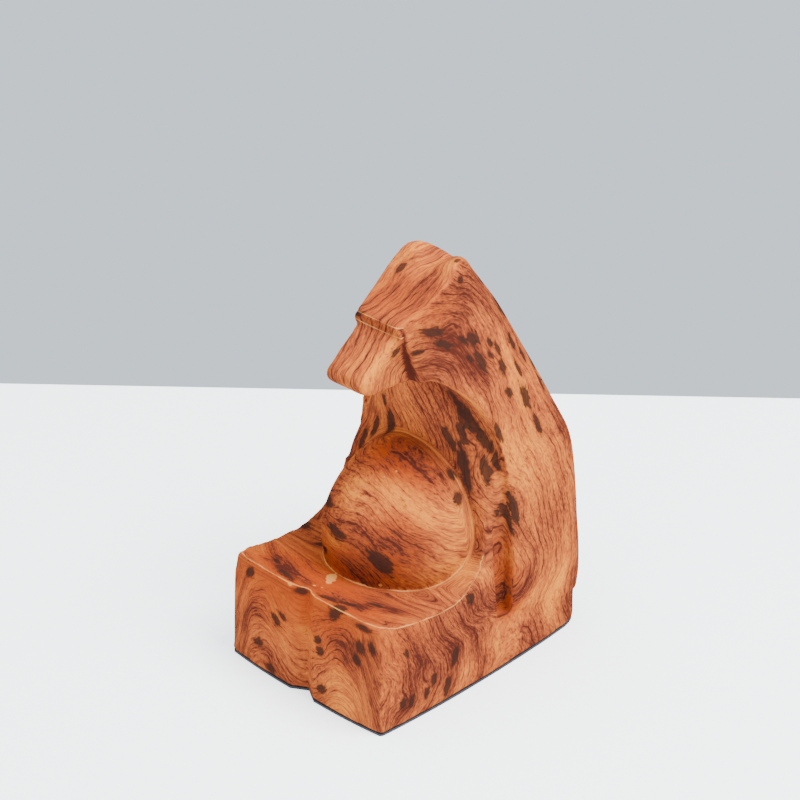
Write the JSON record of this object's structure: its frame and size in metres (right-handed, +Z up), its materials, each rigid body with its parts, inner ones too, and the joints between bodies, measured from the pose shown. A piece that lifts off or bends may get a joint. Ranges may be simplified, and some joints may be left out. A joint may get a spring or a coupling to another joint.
{
  "type": "bear sculpture",
  "caption": "Seated bear ornament in plain carved planes on a square block, with a round belly, a long muzzle and a printed burl-wood finish.",
  "frame": {"origin": "middle of the underside of the pad, halfway between the foremost and rearmost points of the whole", "axes": "+Z up, -Y the way the bear faces, +X the bear's left"},
  "size_m": [0.108, 0.1482, 0.2016],
  "materials": {
    "printed_resin": "satin clear coat over a burl-wood print, worn pale along some edges",
    "pad": "matt thin foam"
  },
  "bodies": {
    "root": {"bear_casting": "printed_resin", "base_pad": "pad"}
  },
  "joints": []
}
